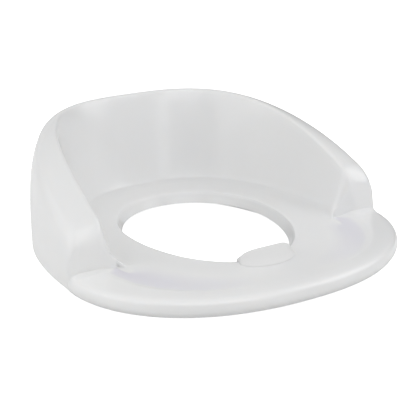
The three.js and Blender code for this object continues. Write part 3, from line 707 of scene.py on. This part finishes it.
def shell_section(angle, wall):
    """The knots at one angle, between the open front's section and the back's."""
    lip, crease, crest, base = (reach(oval, angle) for oval in (LIP, CREASE, CREST, BASE))
    top = crest_height(HUB_Y + crest * math.sin(angle))
    dip = VALLEY_DEPTH * abs(math.cos(angle)) ** VALLEY_FADE
    ring = smooth(crease * math.sin(angle), -RING_BLEND, RING_BLEND)
    front, back = front_knots(lip, crease, base, dip), wall_knots(lip, crease, crest, base, top)
    knots = []
    for k, (f, w) in enumerate(zip(front, back)):
        share = ring if k < FIRST_WALL_KNOT else wall
        knots.append((f[0] + (w[0] - f[0]) * share, f[1] + (w[1] - f[1]) * share))
    return knots


def shell_grid(fine, steps):
    """Closed rings of points, one at each column: out along the section and back along its inner side."""
    right = side_columns(fine)
    left = [(math.pi - angle, wall, facing) for angle, wall, facing in reversed(right[1:-1])]
    rings = []
    for angle, wall, facing in right + left:
        section = spline(shell_section(angle, wall), steps)
        tangent = np.gradient(section, axis=0)
        tangent /= np.linalg.norm(tangent, axis=1)[:, None]
        normal = np.stack([tangent[:, 1], -tangent[:, 0]], 1)
        normal[0], normal[-1] = (1, 0), (-1, 0)
        knots = [k / steps for k in range(len(section))]
        share = np.array([face_share(k) for k in knots]) * facing
        back = np.array([corner_share(k) for k in knots]) * facing * ARM_CORNER
        across = WALL * np.sqrt(1 - share ** 2)
        inner = section + normal * across[:, None]

        def place(points, push):
            x = points[:, 0] * math.cos(angle)
            y = HUB_Y + points[:, 0] * math.sin(angle) + back + push
            return np.stack([x, y, points[:, 1]], 1)

        rings.append(np.vstack([place(section, 0), place(inner, WALL * share)[::-1]]))
    return np.array(rings)


def make_rib(degrees):
    """An upright plate on the ring's underside, from the lip to the foot of the wall."""
    a = Vector(oval_point(LIP, degrees * RADIANS, RIB_FROM_LIP))
    b = Vector(oval_point(CREASE, degrees * RADIANS, -RIB_FROM_CREASE))
    bpy.ops.mesh.primitive_cube_add(size=1)
    rib = bpy.context.object
    rib.scale = ((b - a).length * MM, RIB_T * MM, (BOSS_HIGH_Z - BOSS_LOW_Z) * MM)
    rib.rotation_euler = (0, 0, math.atan2(b.y - a.y, b.x - a.x))
    rib.location = (*((a + b) / 2 * MM), (BOSS_LOW_Z + BOSS_HIGH_Z) / 2 * MM)
    return rib


def make_shell(materials):
    rings = shell_grid(COLUMN_FINENESS, SPLINE_STEPS)
    columns, rows = rings.shape[:2]
    faces = []
    for i in range(columns):
        here, there = i * rows, (i + 1) % columns * rows
        for j in range(rows):
            after = (j + 1) % rows
            faces.append((here + j, here + after, there + after, there + j))
    shell = scratch_mesh("shell_moulding", rings.reshape(-1, 3), faces)
    places = [oval_point(SCREW_RING, degrees * RADIANS) for degrees in SCREW_ANGLES]
    bosses = [cylinder(x, y, BOSS_LOW_Z, BOSS_HIGH_Z, BOSS_R) for x, y in places]
    ribs = [make_rib(degrees) for degrees in RIB_ANGLES]
    bpy.context.view_layer.update()
    join_boolean(shell, bosses + ribs, "UNION")
    pilots = [cylinder(x, y, BOSS_LOW_Z - 1, BOSS_LOW_Z + PILOT_DEPTH, PILOT_R) for x, y in places]
    join_boolean(shell, pilots, "DIFFERENCE")
    fit_to_node(shell, "seat_shell")
    shade_smooth(shell, 40)
    stand_in(shell, "seat_shell", "seat", materials["seat_polymer"])


# ---- splash guard: the CAD node's own section, drawn finely ----

# Profiles are (distance outside the lip's outline, height).
GUARD_TURN = 19 * RADIANS
GUARD_BLUNT = 2.6
GUARD_REACH = 0.99
GUARD_STEPS = 90
GUARD_RIDGE = 6.2
GUARD_EDGE = -1.3
GUARD_FOOT_Z = LIP_Z + 0.2
GUARD_FRONT = [
    (-6.9, 24.2), (-6.4, 26.5), (-2.6, 31.5), (2.6, 37.6), (4.6, 40.2), (GUARD_RIDGE, 41), (7.8, 40.3),
    (9.4, 37.8), (11.2, 34.6), (13.4, 31.6), (16, 29.4), (18.5, GUARD_FOOT_Z + 0.02),
]
GUARD_UNDER = [(3.5, GUARD_FOOT_Z + 0.02), (2, 27.95), (0.7, 27.45), (0.1, 26.75), (GUARD_EDGE, 24.2)]
HOLLOW_REACH = 0.76
HOLLOW_STEPS = 40
GUARD_HOLLOW = [
    (-4.6, 22), (-4.2, 26.2), (-1, 30.6), (4.6, 37.2), (6.2, 38.2), (7.6, 36.4), (9, 32.8), (10.8, 30.2),
    (13, 28.1), (13, 22),
]
TONGUE_T = 2.3
TONGUE_HALF = 21
TONGUE_INSET = HOLE_DRAFT + 0.5
TONGUE_TOP_Z = 26
TONGUE_STEPS = 24


def guard_loft(name, profile, reach_share, steps):
    """The profile swept along the front of the lip, lower and thinner toward both blunt ends."""
    points = []
    for i in range(steps + 1):
        share = reach_share * (2 * i / steps - 1)
        size = (1 - abs(share) ** GUARD_BLUNT) ** (1 / GUARD_BLUNT)
        for out, z in profile:
            kept = min(GUARD_RIDGE, max(GUARD_EDGE, out))
            out = kept + (out - kept) * size
            if z > GUARD_FOOT_Z:
                z = GUARD_FOOT_Z + (z - GUARD_FOOT_Z) * size
            points.append((*oval_point(LIP, -QUARTER_TURN + GUARD_TURN * share, out), z))
    count = len(profile)
    faces = []
    for i in range(steps):
        here, there = i * count, (i + 1) * count
        for k in range(count):
            after = (k + 1) % count
            faces.append((here + k, here + after, there + after, there + k))
    faces.append(tuple(range(count)))
    faces.append(tuple(steps * count + k for k in range(count)))
    return scratch_mesh(name, points, faces)


def guard_tongue():
    """The band that hangs down the hole's wall into the frame's pocket."""
    outline = []
    for inset, sign in ((TONGUE_INSET, 1), (TONGUE_INSET + TONGUE_T, -1)):
        for i in range(TONGUE_STEPS + 1):
            x = sign * TONGUE_HALF * (2 * i / TONGUE_STEPS - 1)
            across = math.sqrt(1 - (x / (LIP.half - inset)) ** 2)
            outline.append((x, LIP.middle - (LIP.front - inset) * across))
    return prism("tongue", outline, PLATE_TOP + GAP, TONGUE_TOP_Z)


def make_guard(materials):
    front = [tuple(point) for point in spline(GUARD_FRONT, SPLINE_STEPS)]
    guard = guard_loft("splash_guard_moulding", front + GUARD_UNDER, GUARD_REACH, GUARD_STEPS)
    hollow = guard_loft("hollow", GUARD_HOLLOW, HOLLOW_REACH, HOLLOW_STEPS)
    join_boolean(guard, [hollow], "DIFFERENCE")
    join_boolean(guard, [guard_tongue()], "UNION")
    fix_normals(guard.data)
    shade_smooth(guard, 38)
    fit_to_node(guard, "splash_guard")
    # A known fault, left as it is: the booleans leave an empty slot that every face uses, so the guard
    # shows Blender's plain surface and not this material. With stand_in the guard wears the material,
    # and is about 10 of 255 lighter than the photo.
    guard.data.materials.append(materials["guard_polymer"])
    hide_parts("splash_guard")
    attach(guard, "guard")


# ---- smaller pieces: the CAD node's own shape with rounded edges, and threaded screws ----

SIDES = ("left", "right")
BODIES = {"adjuster_knob": "knob", "knob_screw": "knob", "adjuster_yoke": "yoke"}
BODIES.update({f"foot_shoe_{side}": "yoke" for side in SIDES})

# Edge rounding in millimetres; the edges that turn by more than ROUNDED_ANGLE degrees get it.
ROUNDED_ANGLE = 30
EDGES = {"base_frame": 0.3, "guide_cover": 0.3}
EDGES.update({f"grip_pad_{end}_{side}": 0.6 for end in ("front", "rear") for side in SIDES})
EDGES.update({f"skirt_bumper_{side}": 0.7 for side in SIDES})
EDGES.update({"adjuster_knob": 0.35, "adjuster_yoke": 0.25})
EDGES.update({f"foot_shoe_{side}": 0.4 for side in SIDES})

SCREWS = [f"frame_screw_{i}" for i in range(1, 7)] + [f"cover_screw_{side}" for side in SIDES]
SCREWS.append("knob_screw")
SCREW_HEAD = [(1.6, 0.05), (2.6, 0.35), (3.2, 0.95), (3.2, 1.8), (1.2, 1.8)]
SCREW_HEAD_H = 1.8
THREAD_START = 0.3
THREAD_END = 1.5
THREAD_PITCH = 0.8
THREAD_RIDGE = [(1.1, 0), (1.45, 0.35), (1.1, 0.7)]
SCREW_TIP_R = 1.0
SCREW_TIP_H = 0.7
SCREW_SIDES = 28
RECESS_LONG = 2.9
RECESS_SHORT = 0.65
RECESS_DEPTH = 1.1

SAME_POINT = 1e-6
FLAT_ANGLE = 1 * RADIANS


def node_copy(node, extra):
    """A new object with the CAD node's faces, its flat triangles merged back into whole faces."""
    bm = bmesh.new()
    bm.from_mesh(frame["nodes"][node].data)
    bmesh.ops.remove_doubles(bm, verts=bm.verts, dist=SAME_POINT)
    bmesh.ops.dissolve_limit(bm, angle_limit=FLAT_ANGLE, verts=bm.verts, edges=bm.edges)
    mesh = bpy.data.meshes.new(node + extra)
    bm.to_mesh(mesh)
    bm.free()
    piece = bpy.data.objects.new(node + extra, mesh)
    bpy.context.collection.objects.link(piece)
    return piece


def make_rounded(slots, materials):
    for node, radius in EDGES.items():
        piece = node_copy(node, "_rounded")
        round_edges(piece, radius * MM, ROUNDED_ANGLE)
        shade_smooth(piece, ROUNDED_ANGLE)
        stand_in(piece, node, BODIES.get(node, "seat"), materials[slots[node]])


def screw_profile(bottom, top):
    """Pan head, a ridge at each pitch of the thread, and a blunt tip, from the head's face upward."""
    profile = [(0, bottom)] + [(radius, bottom + up) for radius, up in SCREW_HEAD]
    z = bottom + SCREW_HEAD_H + THREAD_START
    while z < top - THREAD_END:
        profile += [(radius, z + up) for radius, up in THREAD_RIDGE]
        z += THREAD_PITCH
    return profile + [(SCREW_TIP_R, top - SCREW_TIP_H), (0, top)]


def cross_recess(x, y, bottom):
    bars = []
    for wide, deep in ((RECESS_LONG, RECESS_SHORT), (RECESS_SHORT, RECESS_LONG)):
        corners = ((-wide, -deep), (wide, -deep), (wide, deep), (-wide, deep))
        outline = [(x + across / 2, y + along / 2) for across, along in corners]
        bars.append(prism("recess", outline, bottom - 0.5, bottom + RECESS_DEPTH))
    return bars


def make_screws(slots, materials):
    for node in SCREWS:
        low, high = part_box(node)
        x, y = (low[0] + high[0]) / 2 / MM, (low[1] + high[1]) / 2 / MM
        bottom, top = low[2] / MM, high[2] / MM
        screw = lathe(node + "_threaded", screw_profile(bottom, top), x, y, SCREW_SIDES)
        join_boolean(screw, cross_recess(x, y, bottom), "DIFFERENCE")
        fix_normals(screw.data)
        shade_smooth(screw, 35)
        stand_in(screw, node, BODIES.get(node, "seat"), materials[slots[node]])


def dress_cad_nodes(slots, materials):
    """The nodes that keep their CAD shape."""
    for name in ("pinion_shaft", "knob_washer", "detent_spring"):
        node = frame["nodes"][name]
        node.data.materials.clear()
        node.data.materials.append(materials[slots[name]])


bpy.context.scene.view_settings.view_transform = "Standard"
add_camera()
add_world()
add_panels()
add_floor()
materials = make_materials()
slots = {row["node"]: row["material_slot"] for row in frame["record"]["subparts"]}
make_shell(materials)
make_guard(materials)
make_rounded(slots, materials)
make_screws(slots, materials)
dress_cad_nodes(slots, materials)
